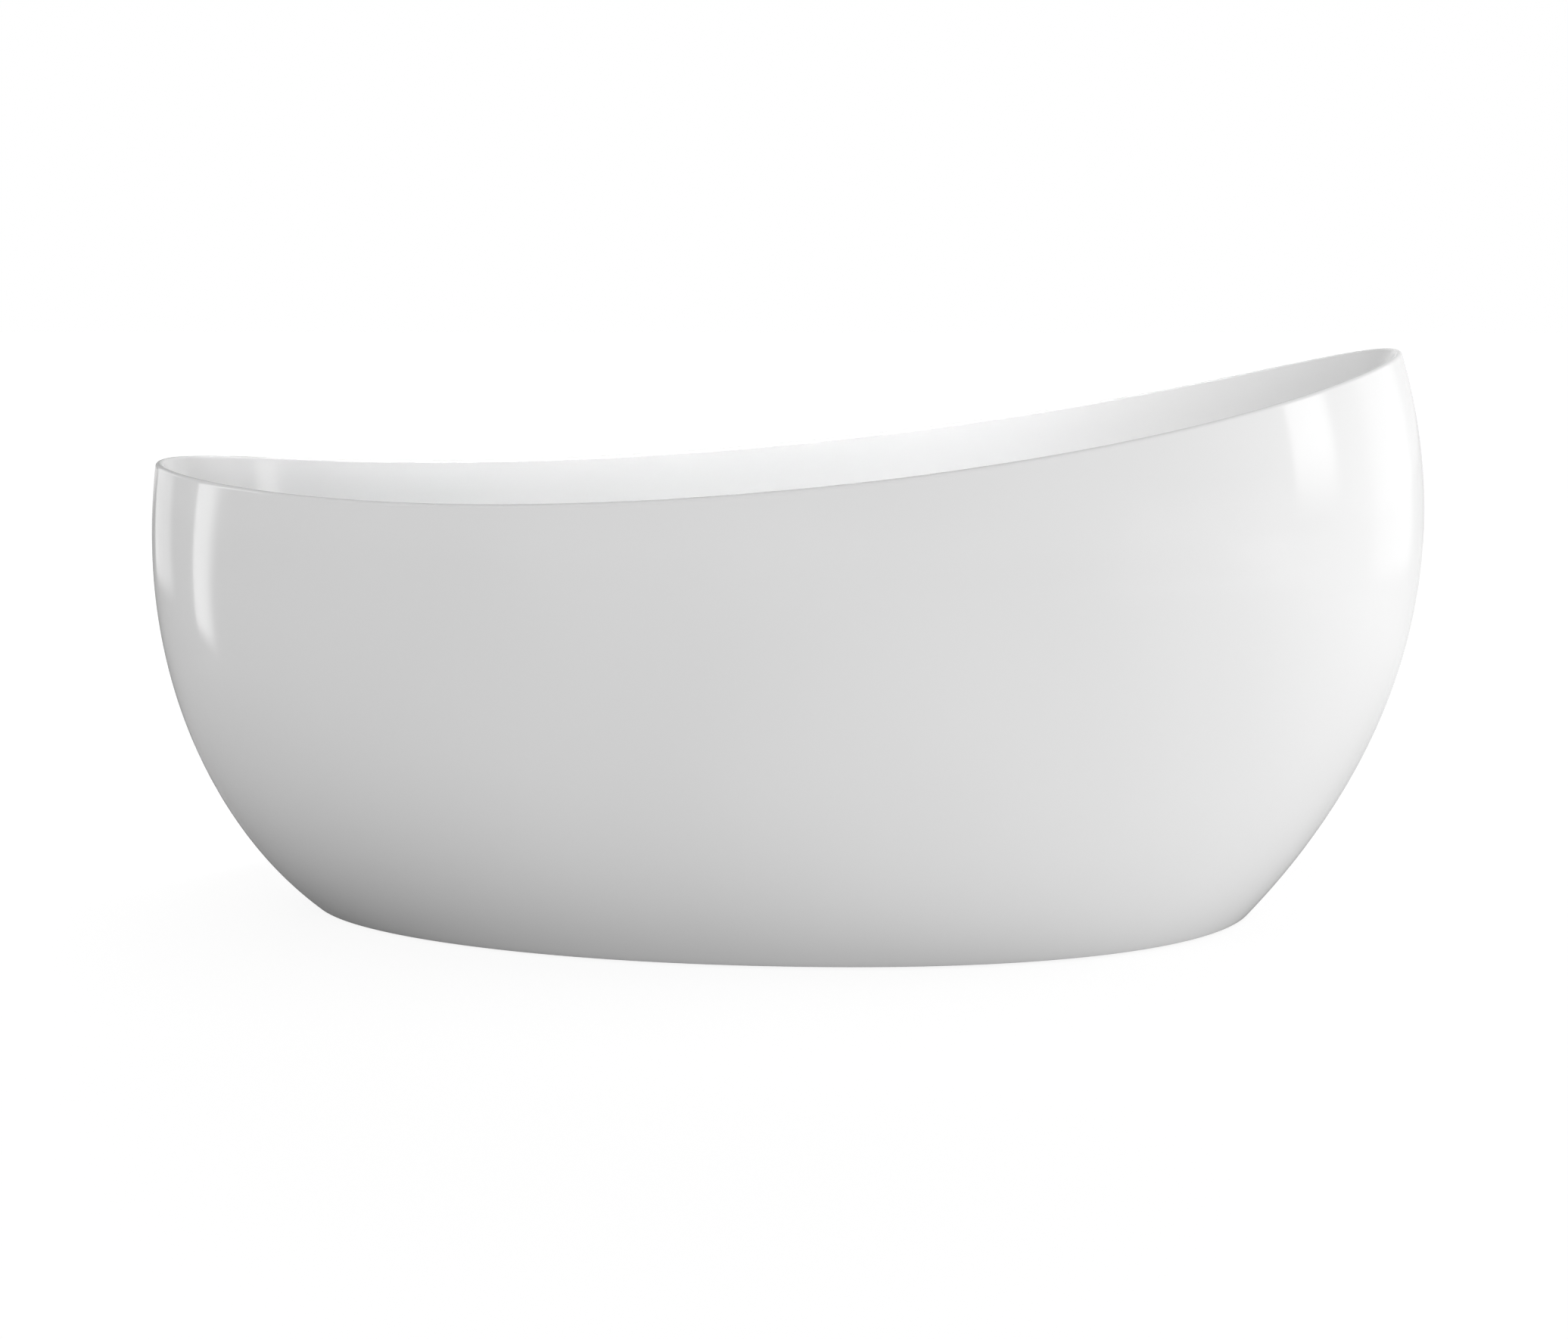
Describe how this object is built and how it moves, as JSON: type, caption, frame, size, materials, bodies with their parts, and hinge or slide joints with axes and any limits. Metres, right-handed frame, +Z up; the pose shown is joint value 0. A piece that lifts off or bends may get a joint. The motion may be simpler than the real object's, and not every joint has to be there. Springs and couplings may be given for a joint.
{
  "type": "freestanding bathtub",
  "caption": "Egg-shaped freestanding acrylic bath whose thin rim sweeps up to the head end, with frame, screw feet, pop-up waste and overflow.",
  "frame": {"origin": "on the floor under the middle of the bath, midway between its foot and head tips", "axes": "+X towards the raised head end, +Y towards the long side with the overflow, +Z up"},
  "size_m": [1.6998, 0.8, 0.7558],
  "materials": {
    "white_acrylic": "high gloss, seamless",
    "chrome_plate": "polished",
    "zinc_steel": "bright zinc plated",
    "powder_coated_steel": "satin powder coat",
    "black_rubber": "matt moulded",
    "white_polypropylene": "moulded, satin",
    "cable_sheath": "extruded, satin",
    "bedded_board": "raw board under resin"
  },
  "bodies": {
    "bath": {"outer_shell": "white_acrylic", "inner_tub": "white_acrylic", "base_board": "bedded_board", "near_rail": "powder_coated_steel", "far_rail": "powder_coated_steel", "cross_member_foot_end": "powder_coated_steel", "skirt_bracket_foot_end_near": "zinc_steel", "skirt_bracket_foot_end_far": "zinc_steel", "lock_nut_foot_end_near": "zinc_steel", "lock_nut_foot_end_far": "zinc_steel", "cross_member_middle": "powder_coated_steel", "skirt_bracket_middle_near": "zinc_steel", "skirt_bracket_middle_far": "zinc_steel", "lock_nut_middle": "zinc_steel", "cross_member_head_end": "powder_coated_steel", "skirt_bracket_head_end_near": "zinc_steel", "skirt_bracket_head_end_far": "zinc_steel", "lock_nut_head_end_near": "zinc_steel", "lock_nut_head_end_far": "zinc_steel", "overflow_plate": "chrome_plate", "overflow_gasket": "black_rubber", "overflow_elbow": "white_polypropylene", "overflow_nut": "white_polypropylene", "overflow_pipe": "white_polypropylene", "control_cable": "cable_sheath", "drain_flange": "chrome_plate", "drain_gasket": "black_rubber", "waste_body": "white_polypropylene", "waste_inlet_nut": "white_polypropylene", "trap_inlet_nut": "white_polypropylene", "trap_bend": "white_polypropylene", "trap_outlet_nut": "white_polypropylene", "outlet_elbow": "white_polypropylene"},
    "pad_foot_end_near": {"foot_pad_foot_end_near": "black_rubber"},
    "stud_foot_end_near": {"foot_stud_foot_end_near": "zinc_steel"},
    "pad_foot_end_far": {"foot_pad_foot_end_far": "black_rubber"},
    "stud_foot_end_far": {"foot_stud_foot_end_far": "zinc_steel"},
    "pad_middle": {"foot_pad_middle": "black_rubber"},
    "stud_middle": {"foot_stud_middle": "zinc_steel"},
    "pad_head_end_near": {"foot_pad_head_end_near": "black_rubber"},
    "stud_head_end_near": {"foot_stud_head_end_near": "zinc_steel"},
    "pad_head_end_far": {"foot_pad_head_end_far": "black_rubber"},
    "stud_head_end_far": {"foot_stud_head_end_far": "zinc_steel"},
    "overflow_knob": {"overflow_knob": "chrome_plate"},
    "drain_plug": {"drain_plug": "chrome_plate", "plug_seal": "black_rubber"}
  },
  "joints": [
    {"name": "knob_turn", "type": "hinge", "parent": "bath", "child": "overflow_knob", "pos_m": [-0.26563, 0.31808, 0.455], "axis": [0.1488, -0.9498, 0.2751], "range_deg": [0, 120]},
    {"name": "plug_lift", "type": "slide", "parent": "bath", "child": "drain_plug", "axis": [0, 0, 1], "range_m": [0, 0.01]},
    {"name": "pad_height_foot_end_near", "type": "slide", "parent": "bath", "child": "pad_foot_end_near", "axis": [0, 0, 1], "range_m": [-0.018, 0]},
    {"name": "stud_turn_foot_end_near", "type": "hinge", "parent": "pad_foot_end_near", "child": "stud_foot_end_near", "pos_m": [-0.438, -0.16563, 0], "axis": [0, 0, 1], "range_deg": [-3705, 0]},
    {"name": "pad_height_foot_end_far", "type": "slide", "parent": "bath", "child": "pad_foot_end_far", "axis": [0, 0, 1], "range_m": [-0.018, 0]},
    {"name": "stud_turn_foot_end_far", "type": "hinge", "parent": "pad_foot_end_far", "child": "stud_foot_end_far", "pos_m": [-0.438, 0.16563, 0], "axis": [0, 0, 1], "range_deg": [-3705, 0]},
    {"name": "pad_height_middle", "type": "slide", "parent": "bath", "child": "pad_middle", "axis": [0, 0, 1], "range_m": [-0.018, 0]},
    {"name": "stud_turn_middle", "type": "hinge", "parent": "pad_middle", "child": "stud_middle", "pos_m": [0.03047, 0, 0], "axis": [0, 0, 1], "range_deg": [-3705, 0]},
    {"name": "pad_height_head_end_near", "type": "slide", "parent": "bath", "child": "pad_head_end_near", "axis": [0, 0, 1], "range_m": [-0.018, 0]},
    {"name": "stud_turn_head_end_near", "type": "hinge", "parent": "pad_head_end_near", "child": "stud_head_end_near", "pos_m": [0.432, -0.19768, 0], "axis": [0, 0, 1], "range_deg": [-3705, 0]},
    {"name": "pad_height_head_end_far", "type": "slide", "parent": "bath", "child": "pad_head_end_far", "axis": [0, 0, 1], "range_m": [-0.018, 0]},
    {"name": "stud_turn_head_end_far", "type": "hinge", "parent": "pad_head_end_far", "child": "stud_head_end_far", "pos_m": [0.432, 0.19768, 0], "axis": [0, 0, 1], "range_deg": [-3705, 0]}
  ],
  "couplings": [
    {"joint": "plug_lift", "follows": "knob_turn", "m_per_rad": 0.0047746},
    {"joint": "stud_turn_foot_end_near", "follows": "pad_height_foot_end_near", "rad_per_m": 3590.4},
    {"joint": "stud_turn_foot_end_far", "follows": "pad_height_foot_end_far", "rad_per_m": 3590.4},
    {"joint": "stud_turn_middle", "follows": "pad_height_middle", "rad_per_m": 3590.4},
    {"joint": "stud_turn_head_end_near", "follows": "pad_height_head_end_near", "rad_per_m": 3590.4},
    {"joint": "stud_turn_head_end_far", "follows": "pad_height_head_end_far", "rad_per_m": 3590.4}
  ]
}
